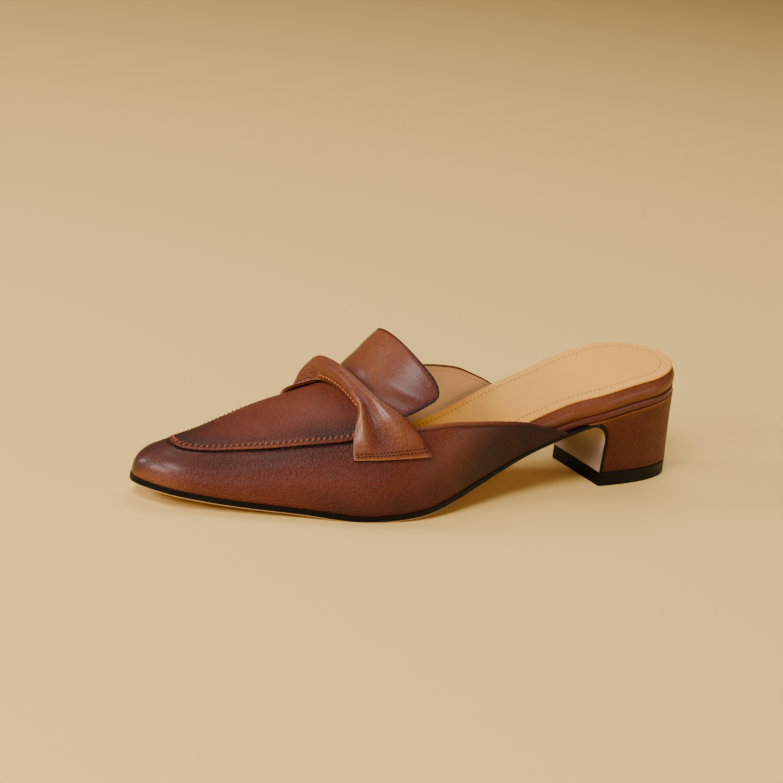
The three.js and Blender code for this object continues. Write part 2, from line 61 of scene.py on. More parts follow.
# %% Curves of the last
LENGTH, BALL_WIDTH, SEAT_HEIGHT, TOE_SPRING, INSTEP_HEIGHT = 249.5, 76.0, 39.4, 7.2, 49.0
HEEL_ROUND, TOE_ROUND, NOSE_ROUND, GAP = 26.0, 14.0, 19.0, 0.3
SOLE_THICKNESS, WAIST_THICKNESS, TREAD_FLAT = 2.2, 1.6, 0.6
SECTION_AT = [0.00, 0.10, 0.22, 0.34, 0.46, 0.58, 0.68, 0.76, 0.88, 1.00]
SECTIONS = {
    "half": [0.665, 0.708, 0.688, 0.673, 0.745, 0.965, 0.990, 0.880, 0.613, 0.270],
    "swing": [0.045, 0.021, -0.010, -0.041, -0.088, -0.074, -0.013, 0.034, 0.060, 0.073],
    "crown": [1.20, 1.22, 1.24, 1.23, 1.16, 0.99, 0.77, 0.60, 0.36, 0.235],
    "crest": [0.000, 0.005, 0.020, 0.035, 0.050, 0.066, 0.052, 0.026, 0.006, 0.000],
    "round": [2.0, 2.0, 2.0, 2.0, 2.0, 2.05, 2.15, 2.2, 2.2, 2.3],
    "seat": [1.000, 0.927, 0.759, 0.523, 0.247, 0.043, 0.0, 0.0, 0.0, 0.0],
    "spring": [0.0, 0.0, 0.0, 0.0, 0.0, 0.0, 0.0, 0.22, 0.49, 1.0],
}
heel_box, lift_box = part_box("heel"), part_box("top_lift")
LIFT_SHIFT = -2.8
SHIFT = np.array([heel_box[1].x * 1000, (lift_box[0].y + lift_box[1].y) * 500 - LIFT_SHIFT, 0.0])
print("the last's heel is at", SHIFT.round(3), "mm in the frame")


def fair(x, y):
    """A fair curve through the points, with even bending."""
    x, y = np.array(x, float), np.array(y, float)
    gaps, count = np.diff(x), len(x)
    rows, turn = np.eye(count), np.zeros(count)
    for i in range(1, count - 1):
        rows[i, i - 1 : i + 2] = gaps[i - 1], 2 * (gaps[i - 1] + gaps[i]), gaps[i]
        turn[i] = 6 * ((y[i + 1] - y[i]) / gaps[i] - (y[i] - y[i - 1]) / gaps[i - 1])
    bends = np.linalg.solve(rows, turn)

    def curve(at):
        i = np.clip(np.searchsorted(x, at) - 1, 0, count - 2)
        b = np.clip((at - x[i]) / gaps[i], 0, 1)
        a = 1 - b
        bent = (a**3 - a) * bends[i] + (b**3 - b) * bends[i + 1]
        return a * y[i] + b * y[i + 1] + bent * gaps[i] ** 2 / 6

    return curve


def steady(x, y):
    """A smooth curve that never passes its points."""
    x, y = np.array(x, float), np.array(y, float)
    if x[0] > x[-1]:
        x, y = x[::-1], y[::-1]
    gaps = np.diff(x)
    chord = np.diff(y) / gaps
    before, after = np.append(chord[0], chord), np.append(chord, chord[-1])
    same_way = before * after > 0
    slope = np.where(same_way, 2 * before * after / np.where(same_way, before + after, 1), 0)

    def curve(at):
        i = np.clip(np.searchsorted(x, at) - 1, 0, len(x) - 2)
        m = np.clip((at - x[i]) / gaps[i], 0, 1)
        start, end = 2 * m**3 - 3 * m**2 + 1, 3 * m**2 - 2 * m**3
        lean = (m**3 - 2 * m**2 + m) * slope[i] + (m**3 - m**2) * slope[i + 1]
        return start * y[i] + end * y[i + 1] + lean * gaps[i]

    return curve


def mix(a, b, m):
    return a + (b - a) * m


def smooth(start, end, value):
    m = np.clip((value - start) / (end - start), 0, 1)
    return m * m * (3 - 2 * m)


def dome(value, power):
    return (1 - (1 - np.clip(value, 0, 1)) ** power) ** (1 / power)


def hill(value, centre, width):
    """1 at the centre and falling away softly on both sides."""
    return np.exp(-(((value - centre) / width) ** 2))


last = {key: (steady if key in ("seat", "spring") else fair)(SECTION_AT, row)
        for key, row in SECTIONS.items()}
BALL_RISE = SOLE_THICKNESS + TREAD_FLAT / 2


def half_width(at):
    return last["half"](at) * BALL_WIDTH / 2


def middle(at):
    return last["swing"](at) * BALL_WIDTH


def crown(at):
    return last["crown"](at) * INSTEP_HEIGHT


def rise(at):
    """Height of the sole's upper face over the floor."""
    at = np.clip(at, 0, 1)
    return BALL_RISE + last["seat"](at) * (SEAT_HEIGHT - BALL_RISE) + last["spring"](at) * TOE_SPRING


def last_point(at, around, inset=0.0):
    at, around = np.broadcast_arrays(np.asarray(at, float), np.asarray(around, float))
    to_tip = (1 - at) * LENGTH - inset
    narrow = dome(to_tip / TOE_ROUND, 2) * dome(at * LENGTH / HEEL_ROUND, 2)
    height = (crown(at) - inset) * dome(to_tip / NOSE_ROUND, 2.5)
    angle = (1 - np.abs(around)) * math.pi / 2
    power = 2 / last["round"](at)
    out, up = np.maximum(0, np.cos(angle)) ** power, np.maximum(0, np.sin(angle)) ** power
    ridge = middle(at) + last["crest"](at) * BALL_WIDTH * narrow
    edge = middle(at) + np.sign(around) * (half_width(at) - inset) * narrow
    return np.stack([-at * LENGTH, mix(ridge, edge, out), rise(at) + GAP + height * up], -1)


def unit(vectors):
    return vectors / np.maximum(np.linalg.norm(vectors, axis=-1, keepdims=True), 1e-9)


def last_normal(at, around):
    step = 1e-3
    along = last_point(at + step, around) - last_point(at - step, around)
    across = last_point(at, around + step) - last_point(at, around - step)
    return unit(np.cross(across, along))


def over_last(at, around, out):
    """A point that stands out from the last by so much."""
    at, around = np.broadcast_arrays(np.asarray(at, float), np.asarray(around, float))
    return last_point(at, around) + last_normal(at, around) * np.asarray(out)[..., None]


def plan_point(at, side, grow):
    """Point of the last's outline in plan, moved out by grow. side is -1 outside and 1 on the inner side."""
    def outline(share):
        half = half_width(share) * dome((1 - share) * LENGTH / TOE_ROUND, 2)
        half = half * dome(share * LENGTH / HEEL_ROUND, 2)
        return np.stack([-share * LENGTH, middle(share) + side * half], -1)

    end = math.sqrt(0.5) * 1e-3
    before, after = outline(np.clip(at - end, 0, 1)), outline(np.clip(at + end, 0, 1))
    normal = np.stack([side * (after[..., 1] - before[..., 1]), side * (before[..., 0] - after[..., 0])], -1)
    normal = np.where((at <= 0)[..., None], [1.0, 0.0], normal)
    normal = np.where((at >= 1)[..., None], [-1.0, 0.0], normal)
    return outline(at) + unit(normal) * np.asarray(grow)[..., None]


print("ball of the last, mm:", last_point(0.68, -1.0).round(1), last_point(0.68, 1.0).round(1))

# %% [markdown]
# ## Cutting and lasting
# A shoemaker cuts leather flat and pulls it over the last. A grid primitive is such a flat cut: it is
# added, and each of its points is then laid where a rule says. The alternative, pushing a box about by
# hand, wouldn't follow the last as truly. Solidify gives the cut its thickness, and a small Bevel takes the
# sharpness off its edge. The grid also brings a UV map that runs with the leather.

# %% Helpers for cut pieces
def points_of(piece):
    points = np.zeros(len(piece.data.vertices) * 3)
    piece.data.vertices.foreach_get("co", points)
    return points.reshape(-1, 3)


def lay(name, columns, rows, place):
    """A flat cut whose points are laid where place(u, v) says. place also gives marks for the finish."""
    bpy.ops.object.select_all(action="DESELECT")
    bpy.ops.mesh.primitive_grid_add(x_subdivisions=columns, y_subdivisions=rows, size=1)
    cut = bpy.context.object
    cut.name = cut.data.name = name
    flat = points_of(cut) + 0.5
    points, marks = place(flat[:, 0], flat[:, 1])
    cut.data.vertices.foreach_set("co", ((points + SHIFT) / 1000).ravel())
    for mark, values in marks.items():
        cut.data.attributes.new(mark, "FLOAT", "POINT")
        values = np.broadcast_to(values, len(points)).astype(np.float32)
        cut.data.attributes[mark].data.foreach_set("value", values)
    cut.data.update()
    return cut


def in_edit_mode(piece, *steps):
    """Runs operators on all of one piece's mesh."""
    bpy.ops.object.select_all(action="DESELECT")
    piece.select_set(True)
    bpy.context.view_layer.objects.active = piece
    bpy.ops.object.mode_set(mode="EDIT")
    bpy.ops.mesh.select_all(action="SELECT")
    for step, options in steps:
        step(**options)
    bpy.ops.object.mode_set(mode="OBJECT")


MERGE = (bpy.ops.mesh.remove_doubles, {"threshold": 4e-6})
FILL = (bpy.ops.mesh.fill_holes, {"sides": 0})
OUTWARDS = (bpy.ops.mesh.normals_make_consistent, {"inside": False})
FLIP = (bpy.ops.mesh.flip_normals, {})


def apply(piece, kind, **settings):
    modifier = piece.modifiers.new(kind.title(), kind)
    for key, value in settings.items():
        setattr(modifier, key, value)
    bpy.context.view_layer.objects.active = piece
    bpy.ops.object.modifier_apply(modifier=modifier.name)


def soften(piece, width, segments=2, angle=40):
    """Takes the sharpness off the edges, then shades smoothly up to that angle."""
    apply(piece, "BEVEL", width=width / 1000, segments=segments, limit_method="ANGLE",
          angle_limit=math.radians(angle), use_clamp_overlap=True)
    bpy.ops.object.select_all(action="DESELECT")
    piece.select_set(True)
    bpy.context.view_layer.objects.active = piece
    bpy.ops.object.shade_smooth_by_angle(angle=math.radians(angle))


def sheet_of_leather(name, columns, rows, place, thickness, edge=0.35):
    """A cut of leather with its grain side out, as thick as told and with its edge turned."""
    cut = lay(name, columns, rows, place)
    in_edit_mode(cut, MERGE)
    polygons = cut.data.polygons
    middle_point = np.mean([p.center for p in polygons], axis=0) - [0, 0, 0.03]
    facing = sum((np.array(p.center) - middle_point) @ np.array(p.normal) for p in polygons)
    if facing < 0:
        in_edit_mode(cut, FLIP)
    apply(cut, "SOLIDIFY", thickness=thickness / 1000, offset=-1)
    soften(cut, edge)
    return cut


def solid_piece(name, columns, rows, place, edge=0.3, segments=2, angle=40):
    """A closed form: the cut is wrapped round so that its two sides meet, and its open ends are filled."""
    form = lay(name, columns, rows, place)
    in_edit_mode(form, MERGE, FILL, OUTWARDS)
    soften(form, edge, segments, angle)
    return form


def into_shoe(piece, material, slot, *nodes):
    """Gives a piece its finish and puts it on the shoe in place of its plain solids."""
    piece.data.materials.clear()
    piece.data.materials.append(material)
    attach(piece, "root")
    if nodes:
        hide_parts(*nodes)
    faces = len(piece.data.polygons)
    print(f"{piece.name}: {faces} faces, stands for {list(nodes)}")


def distance_to(points, line):
    """Distance of every point from a line of close points."""
    far = np.empty(len(points))
    for start in range(0, len(points), 4000):
        part = points[start : start + 4000]
        far[start : start + 4000] = np.sqrt(((part[:, None] - line[None]) ** 2).sum(-1).min(1))
    return far


def waves(points, size, seed):
    """A soft unevenness, from -1 to 1, with waves about as long as size."""
    rng = np.random.default_rng(seed)
    total = np.zeros(len(points))
    for _ in range(7):
        way = unit(rng.normal(size=3)) * 2 * math.pi / (size * rng.uniform(0.7, 1.5))
        total += np.sin(points @ way + rng.uniform(0, 6.28))
    return total / 7


# %% [markdown]
# ## Shader words
# A finish is maths on patterns. Written with + and *, it reads as a recipe: the class below wraps a socket,
# and each operator adds its Math node. Everything else, from noise to the shader, comes from one method,
# `node`.

# %% A recipe book for finishes
class Amount:
    """A number that changes over a surface."""

    def __init__(self, finish, socket):
        self.finish, self.socket = finish, socket

    def math(self, operation, *values):
        made = self.finish.node("ShaderNodeMath", {"operation": operation}, dict(enumerate(values)))
        return Amount(self.finish, made.outputs[0])

    def __add__(self, other):
        return self.math("ADD", self, other)

    def __sub__(self, other):
        return self.math("SUBTRACT", self, other)

    def __rsub__(self, other):
        return self.math("SUBTRACT", other, self)

    def __mul__(self, other):
        return self.math("MULTIPLY", self, other)

    __radd__, __rmul__ = __add__, __mul__

    def clamped(self):
        return self.math("MINIMUM", self.math("MAXIMUM", self, 0.0), 1.0)


class Finish:
    """A material, built node by node."""

    def __init__(self, name):
        self.material = bpy.data.materials.new(name)
        self.material.use_nodes = True
        self.tree = self.material.node_tree
        self.tree.nodes.clear()
        self.place = self.node("ShaderNodeTexCoord").outputs["Object"]

    def node(self, kind, settings=None, inputs=None):
        made = self.tree.nodes.new(kind)
        for key, value in (settings or {}).items():
            if key == "stops":
                ramp = made.color_ramp
                while len(ramp.elements) < len(value):
                    ramp.elements.new(0.5)
                for element, (position, colour) in zip(ramp.elements, value):
                    element.position, element.color = position, (*colour, 1)
            else:
                setattr(made, key, value)
        for key, value in (inputs or {}).items():
            value = value.socket if isinstance(value, Amount) else value
            if isinstance(value, bpy.types.NodeSocket):
                self.tree.links.new(value, made.inputs[key])
            else:
                made.inputs[key].default_value = value
        return made

    def noise(self, size_mm, detail=3.0, roughness=0.5, distortion=0.0):
        values = {"Vector": self.place, "Scale": 1000 / size_mm, "Detail": detail,
                  "Roughness": roughness, "Distortion": distortion}
        return Amount(self, self.node("ShaderNodeTexNoise", {}, values).outputs["Fac"])

    def cells(self, size_mm):
        values = {"Vector": self.place, "Scale": 1000 / size_mm}
        return Amount(self, self.node("ShaderNodeTexVoronoi", {}, values).outputs["Distance"])

    def mark(self, name):
        """A value that was painted on the piece's points."""
        return Amount(self, self.node("ShaderNodeAttribute", {"attribute_name": name}).outputs["Fac"])

    def tones(self, amount, *stops):
        return self.node("ShaderNodeValToRGB", {"stops": stops}, {"Fac": amount}).outputs["Color"]

    def blend(self, amount, first, second):
        made = self.node("ShaderNodeMix", {"data_type": "RGBA"})
        for index, value in ((0, amount), (6, first), (7, second)):
            if isinstance(value, Amount):
                value = value.socket
            if isinstance(value, bpy.types.NodeSocket):
                self.tree.links.new(value, made.inputs[index])
            else:
                made.inputs[index].default_value = value if index == 0 else (*value, 1)
        return made.outputs[2]

    def bump(self, height, strength, depth_mm):
        values = {"Height": height, "Strength": strength, "Distance": depth_mm / 1000}
        return self.node("ShaderNodeBump", {}, values).outputs["Normal"]

    def shade(self, **inputs):
        named = {key.replace("_", " ").title().replace("Ior", "IOR"): value for key, value in inputs.items()}
        named = {"Coat Weight" if key == "Coat" else key: value for key, value in named.items()}
        shader = self.node("ShaderNodeBsdfPrincipled", {}, named)
        self.node("ShaderNodeOutputMaterial", {}, {"Surface": shader.outputs["BSDF"]})
        return self.material


def linear(red, green, blue):
    """A colour as a screen shows it, 0 to 255, made ready for a shader."""
    def channel(level):
        return ((level / 255 + 0.055) / 1.055) ** 2.4 if level > 10 else level / 255 / 12.92

    return tuple(channel(level) for level in (red, green, blue))


print("finish kinds ready")

# %% [markdown]
# ## Burnished calf leather
# The upper's leather is dyed tan and then burnished by hand: wax and heat darken it towards red-brown along
# the seams, and leave it golden where the brush hardly went. How dark it is is painted on the points of
# each piece as `burnish`, and the finish turns that into tones. Besides the burnishing, that mark also holds
# painted shade and painted highlights. It is darker in grooves, between stitches, along the footbed's lower
# edges, on the apron's outer side, in the strap's troughs and where a piece goes under another. It is lighter
# along some edges and on the strap's ridges. How far it was polished is painted as `shine`, which lays a
# clear coat over it. Fine grain comes from cells with creases between them. An image would show the same
# grain, but it would stretch over the toe, while noise in the object's own place doesn't.

# %% Leather finishes
def burnished(name, tones, gloss=0.0):
    finish = Finish(name)
    cloud = finish.noise(26, detail=4, roughness=0.55)
    fleck = finish.noise(1.1, detail=2)
    depth = (finish.mark("burnish") + (cloud - 0.5) * 0.42 + (fleck - 0.5) * 0.34).clamped()
    colour = finish.tones(depth, *tones)
    pores = finish.cells(0.85)
    creases = finish.noise(1.2, detail=3, roughness=0.6, distortion=0.6)
    grain_height = pores * 0.7 + creases * 0.9
    shine = finish.mark("shine")
    roughness = 0.42 - gloss + finish.noise(5, detail=3) * 0.12 + creases * 0.10 - shine * 0.06
    return finish.shade(base_color=colour, roughness=roughness, coat=shine * 0.5, coat_roughness=0.31,
                        specular_ior_level=0.2, normal=finish.bump(grain_height, 0.9, 0.45))


BROWN_TONES = (
    (0.00, linear(144, 88, 46)),
    (0.30, linear(110, 56, 27)),
    (0.55, linear(88, 35, 17)),
    (0.80, linear(66, 21, 11)),
    (1.00, linear(38, 13, 8)),
)
upper_leather = burnished("burnished_calf", BROWN_TONES)
strap_leather = burnished("burnished_strap_calf", BROWN_TONES, gloss=0.03)


def plain_leather(name, light, dark, roughness, grain_mm=0.7, strength=0.15):
    finish = Finish(name)
    cloud = finish.noise(30, detail=4)
    speck = finish.noise(2.2, detail=2)
    colour = finish.blend((cloud * 0.8 + speck * 0.2).clamped(), light, dark)
    shade = finish.mark("shade")
    colour = finish.blend(shade.clamped(), colour, tuple(c * 0.35 for c in dark))
    grain = finish.cells(grain_mm) * 0.5 + finish.noise(grain_mm * 1.4, detail=3) * 0.8
    return finish.shade(base_color=colour, roughness=roughness + speck * 0.1,
                        specular_ior_level=0.35, normal=finish.bump(grain, strength, 0.1))


sock_tan = plain_leather("tan_sock_leather", linear(242, 172, 62), linear(226, 150, 46), 0.55)
lining_leather = plain_leather("tan_lining_leather", linear(236, 190, 128), linear(218, 170, 110), 0.55)
sole_leather = plain_leather("beige_sole", linear(196, 172, 152), linear(174, 148, 128), 0.6, 0.5)


def smooth_finish(name, colour, roughness, wear):
    finish = Finish(name)
    scuff = finish.noise(3.5, detail=5, roughness=0.65)
    tone = finish.blend((scuff * wear).clamped(), colour, tuple(c * 2 + 0.002 for c in colour))
    return finish.shade(base_color=tone, roughness=roughness + scuff * 0.16, specular_ior_level=0.14,
                        normal=finish.bump(scuff, 0.12, 0.08))


edge_paint = smooth_finish("black_edge_paint", (0.001, 0.001, 0.001), 0.38, 0.3)
lift_rubber = smooth_finish("black_lift", (0.001, 0.001, 0.001), 0.42, 0.35)
thread_dark = smooth_finish("dark_brown_thread", linear(40, 16, 10), 0.6, 0.3)
thread_brown = smooth_finish("red_brown_thread", linear(116, 62, 42), 0.5, 0.3)
thread_rose = smooth_finish("rose_brown_thread", linear(186, 112, 80), 0.5, 0.3)
thread_tan = smooth_finish("tan_thread", linear(140, 86, 40), 0.6, 0.3)
print("leathers, paint, rubber and threads are mixed")

# %% [markdown]
# ## Sewing
# One stitch is a short bit of thread that dips into the leather at both ends. It is modelled once from a
# sphere, and copied along each seam at an even pitch, turned to the seam's run and to the leather's face.

# %% One stitch, and rows of it
bpy.ops.object.select_all(action="DESELECT")
bpy.ops.mesh.primitive_uv_sphere_add(segments=7, ring_count=5, radius=0.5)
pattern = bpy.context.object
in_edit_mode(pattern, (bpy.ops.transform.rotate, {"value": math.pi / 2, "orient_axis": "Y",
                                                  "center_override": (0, 0, 0)}))
STITCH_POINTS = points_of(pattern)
STITCH_POINTS[:, 2] -= 0.9 * STITCH_POINTS[:, 0] ** 2
STITCH_FACES = [list(p.vertices) for p in pattern.data.polygons]
bpy.data.objects.remove(pattern)
print("a stitch has", len(STITCH_FACES), "faces")


def evenly(path, pitch):
    """Places along a line that are one pitch apart, as shares of its list of points."""
    steps = np.linalg.norm(np.diff(path, axis=0), axis=1)
    length = np.append(0, np.cumsum(steps))
    count = int(length[-1] / pitch)
    wanted = (np.arange(count) + 0.5) * length[-1] / count
    return np.interp(wanted, length, np.arange(len(path)))


def sew(name, seams, material, slot, pitch, length, thread, slant=0.0, sink=0.1):
    """Rows of stitches. Each seam is a line of points on the leather with the leather's normals."""
    points, faces = [], []
    for path, normals in seams:
        for share in evenly(path, pitch):
            i = min(int(share), len(path) - 2)
            centre, up = mix(path[i], path[i + 1], share - i), unit(normals[i])
            run = unit(path[i + 1] - path[i])
            run = unit(run - up * (run @ up))
            side = np.cross(up, run)
            if slant:
                run = unit(run * math.cos(slant) + side * math.sin(slant))
                side = np.cross(up, run)
            base = len(points) * len(STITCH_POINTS)
            scaled = STITCH_POINTS * [length, thread, thread]
            points.append(centre - up * sink + scaled @ np.array([run, side, up]))
            faces += [[base + k for k in face] for face in STITCH_FACES]
    mesh = bpy.data.meshes.new(name)
    mesh.from_pydata((np.concatenate(points) + SHIFT) / 1000, [], faces)
    row = bpy.data.objects.new(name, mesh)
    bpy.context.scene.collection.objects.link(row)
    mesh.polygons.foreach_set("use_smooth", [True] * len(mesh.polygons))
    into_shoe(row, material, slot)
    print(f"{name}: {len(points)} stitches")
    return row


# %% [markdown]
# ## Heel and top-lift
# The heel is a block covered in leather, flat in front and round behind, that grows from its foot to the
# seat. It could be extruded and scaled, but its upper end has to meet the sloping seat all round, so each
# ring of the wrapped grid is set between the foot's outline and the seat's.

# %% Heel
LIFT_FRONT, BREAST_FOOT, BREAST_LEAN, BREAST_RADIUS = 44.3, 43.4, 2.7, 9.6
FLAP_THICKNESS, LIFT_THICKNESS, HEEL_FOOT_WIDTH, HEEL_FOOT_ROUND = 1.2, 6.2, 38.0, 43.0
FRONT_TURN = 0.1


def seat_slope(x):
    return math.atan2(float(rise((-x - 1) / LENGTH) - rise((-x + 1) / LENGTH)), 2)


face_tilt = math.atan2(BREAST_LEAN, SEAT_HEIGHT - LIFT_THICKNESS)
bend_x, bend_z, bend_tilt = -BREAST_FOOT - BREAST_RADIUS, SEAT_HEIGHT / 2, 0.0
for _ in range(12):
    back = BREAST_FOOT + (bend_z - LIFT_THICKNESS) * math.tan(face_tilt)
    bend_x = -back - BREAST_RADIUS / math.cos(face_tilt)
    bend_tilt = seat_slope(bend_x)
    bend_start = bend_x - BREAST_RADIUS * math.sin(bend_tilt)
    bend_z = float(rise(-bend_start / LENGTH)) - BREAST_RADIUS * math.cos(bend_tilt)
print("breast bends at", round(bend_x, 2), round(bend_z, 2), "mm")


def breast_line(share, out=0.0, lowest=LIFT_THICKNESS + GAP):
    """A point down the breast's back face and its normal. The bend takes the first third of the way."""
    share = np.asarray(share, float)
    angle = mix(math.pi / 2 + bend_tilt, face_tilt, np.clip(share * 3, 0, 1))
    nx, nz = np.cos(angle), np.sin(angle)
    x, z = bend_x + nx * (BREAST_RADIUS + out), bend_z + nz * (BREAST_RADIUS + out)
    down = (z - lowest) * np.clip(share * 1.5 - 0.5, 0, 1)
    return x + down * math.tan(face_tilt), z - down, nx, nz


def heel_side(x, level, side):
    """Side of the heel in plan. level is 0 at its foot and 1 at the seat."""
    foot = LIFT_SHIFT + side * HEEL_FOOT_WIDTH / 2 * dome(-x / HEEL_FOOT_ROUND, 2.2)
    at = np.clip(-x / LENGTH, 0, 1)
    seat = middle(at) + side * half_width(at) * dome(-x / HEEL_ROUND, 2)
    return mix(foot, seat, np.clip(level, 0, 1))


def seat_level(x, z):
    return (z - LIFT_THICKNESS) / (rise(-x / LENGTH) - LIFT_THICKNESS)


def heel_ring(u, front_x):
    """Where a ring of the heel runs: along the outer side to the back, and along the inner side to the front.
    across is the share of the way from a side to the middle of the flat front."""
    around = u * (2 + 2 * FRONT_TURN) - FRONT_TURN
    way = np.clip(1 - np.abs(around - 1), 0, 1)
    x = front_x * (1 - np.sin(math.pi / 2 * way))
    across = (np.minimum(around, 0) + np.maximum(around - 2, 0)) / FRONT_TURN
    return x, np.where(around <= 1, -1.0, 1.0), across


def heel_place(u, v):
    order = 1 - v
    front_x, front_z, _, _ = breast_line(order, GAP)
    top = rise(-front_x / LENGTH)
    front_z = np.minimum(front_z, top - 0.7 * (order > 0))
    level = np.where(order <= 0, 1.0, (front_z - LIFT_THICKNESS) / (top - LIFT_THICKNESS))
    x, side, across = heel_ring(u, front_x)
    y = heel_side(x, level, side)
    centre = (heel_side(front_x, level, -1) + heel_side(front_x, level, 1)) / 2
    y = np.where(across != 0, mix(y, centre, np.abs(across)), y)
    z = mix(LIFT_THICKNESS, rise(-x / LENGTH), level)
    back = smooth(0.35, 1.0, 1 - x / front_x) * 0.18
    # The light line along the heel's very top, under the seat, is a painted highlight. The heel is also
    # lighter towards the back and a little darker near its foot.
    low = hill(level, 0.0, 0.10) * 0.12 - hill(level, 1.0, 0.035) * 0.45
    return np.stack([x, y, z], -1), {"burnish": np.clip(0.70 - back + low, 0, 1), "shine": 0.1}


heel = solid_piece("heel_cover", 180, 40, heel_place, edge=0.35)
into_shoe(heel, upper_leather, "brown_leather", "heel")


def lift_place(u, v):
    x, side, across = heel_ring(u, -LIFT_FRONT)
    y = heel_side(x, 0.0, side)
    y = np.where(across != 0, mix(y, LIFT_SHIFT, np.abs(across)), y)
    groove = 0.18 * hill(v, 0.55, 0.06) * (x > -LIFT_FRONT + 0.5)
    centre = np.array([-LIFT_FRONT / 2, LIFT_SHIFT])
    inwards = unit(centre - np.stack([x, y], -1))
    return np.stack([x + inwards[:, 0] * groove, y + inwards[:, 1] * groove, v * LIFT_THICKNESS], -1), {}


top_lift = solid_piece("top_lift_rubber", 160, 14, lift_place, edge=0.3)
into_shoe(top_lift, lift_rubber, "black_rubber", "top_lift")

# %% [markdown]
# ## Outsole
# The sole is a thin plate with a black painted edge. At the heel it isn't cut off: it bends down over the
# heel's breast, as the beige face in front of the heel shows. One wrapped grid runs from the toe to the
# foot of the breast, and the faces at its side get the black paint.

# %% Outsole
SOLE_MARGIN, SOLE_BEVEL, SOLE_EDGE = 0.4, 0.55, 0.80
RING_SHARES = np.array([0.00, 0.02, 0.05, 0.30, 0.50, 0.70, 0.95, 0.98, 1.00])
sole_start = -bend_start / LENGTH


def sole_place(u, v):
    """u goes once round the section: up the outer edge, over the top, down the inner edge and back."""
    turn = u * 4
    top = (turn >= 1) & (turn <= 2)
    under = turn >= 3
    across = np.select([turn < 1, top, turn < 3], [0.0, turn - 1, 1.0], 4 - turn)
    deep = np.select([turn < 1, top, turn < 3], [1 - turn, 0.0, turn - 2], 1.0)
    bevelled = np.clip((deep - SOLE_EDGE) / (1 - SOLE_EDGE), 0, 1)
    flat_part = np.clip(v / 0.8, 0, 1)
    at = 1 - (1 - sole_start) * (1 - np.cos(flat_part * math.pi / 2))
    margin = SOLE_MARGIN * smooth(sole_start, 0.6, at)
    thick = mix(WAIST_THICKNESS, SOLE_THICKNESS + TREAD_FLAT, smooth(0.3, 0.6, at))
    grow = margin - SOLE_BEVEL * bevelled
    near, far = plan_point(at, -1, grow), plan_point(at, 1, grow)
    x, y = mix(near[:, 0], far[:, 0], across), mix(near[:, 1], far[:, 1], across)
    tilt = np.arctan2(rise(at - 1 / LENGTH) - rise(at + 1 / LENGTH), 2)
    plate = np.stack([x + np.sin(tilt) * deep * thick, y,
                      np.maximum(0, rise(-x / LENGTH) - np.cos(tilt) * deep * thick)], -1)
    share = np.clip((v - 0.8) / 0.2, 0, 1)
    bx, bz, nx, nz = breast_line(share)
    down = np.clip((bend_z - bz) / (bend_z - LIFT_THICKNESS), 0, 1)
    turned = np.clip(share * 3, 0, 1)
    hollow = 0.5 * np.sin(math.pi * down) * (1 - (2 * across - 1) ** 2)
    depth = deep * (mix(WAIST_THICKNESS, FLAP_THICKNESS, turned) - hollow)
    inset = SOLE_BEVEL * (1 - turned) * bevelled + 0.35 * bevelled
    near_y = heel_side(bx, seat_level(bx, bz), -1) + inset
    far_y = heel_side(bx, seat_level(bx, bz), 1) - inset
    flap = np.stack([bx - nx * depth, mix(near_y, far_y, across), bz - nz * depth], -1)
    points = np.where((v > 0.8)[:, None], flap, plate)
    worn = under * hill(at, 0.68, 0.12) * (v <= 0.8) * 0.12
    return points, {"shade": worn + (v > 0.8) * (0.30 + 0.45 * np.sin(math.pi * down))}


outsole = solid_piece("outsole_plate", 120, 200, sole_place, edge=0.12, segments=1, angle=50)
into_shoe(outsole, sole_leather, "sole_leather", "outsole")
outsole.data.materials.append(edge_paint)
sole_points = points_of(outsole) * 1000 - SHIFT
print("outsole box, mm:", sole_points.min(0).round(1), sole_points.max(0).round(1))

# %% [markdown]
# ## Footbed
# Three layers lie on the sole: a thin board that shows as a strip, a soft roll of leather over it, and the
# tan sock. Each follows the outline of the last a little further in. A bevelled plane would do for the sock
# alone, but the layers thin out towards the toe and duck inside the upper, so they share one rule.

# %% Layers of the footbed
UPPER_WALL, BOARD_THICKNESS, BED_THICKNESS, SOCK_THICKNESS, SOCK_MARGIN = 1.8, 2.6, 7.4, 0.9, 1.6
bed_share = steady([0.00, 0.30, 0.45, 0.60, 0.80, 1.00], [1.00, 1.00, 0.78, 0.42, 0.22, 0.16])


def board_top(at):
    return GAP + BOARD_THICKNESS * mix(1, 0.55, smooth(0.3, 0.7, at))


def bed_top(at):
    return board_top(at) + GAP + BED_THICKNESS * bed_share(at)


def bed_inset(at, height):
    """How far the footbed stays in from the last's outline, at a height over the sole."""
    inside = smooth(0.19, 0.262, at)
    share = np.minimum(0.9, height / (crown(at) - UPPER_WALL))
    lean = half_width(at) * (1 - np.sqrt(1 - share**2))
    return mix(0.4, UPPER_WALL + 0.8 + lean, inside)


def layer_point(at, across, height, inset):
    reach = -inset - bed_inset(at, height)
    plan = mix(plan_point(at, -1, reach), plan_point(at, 1, reach), np.asarray(across)[..., None])
    return np.concatenate([plan, (rise(-plan[..., 0] / LENGTH) + height)[..., None]], -1)


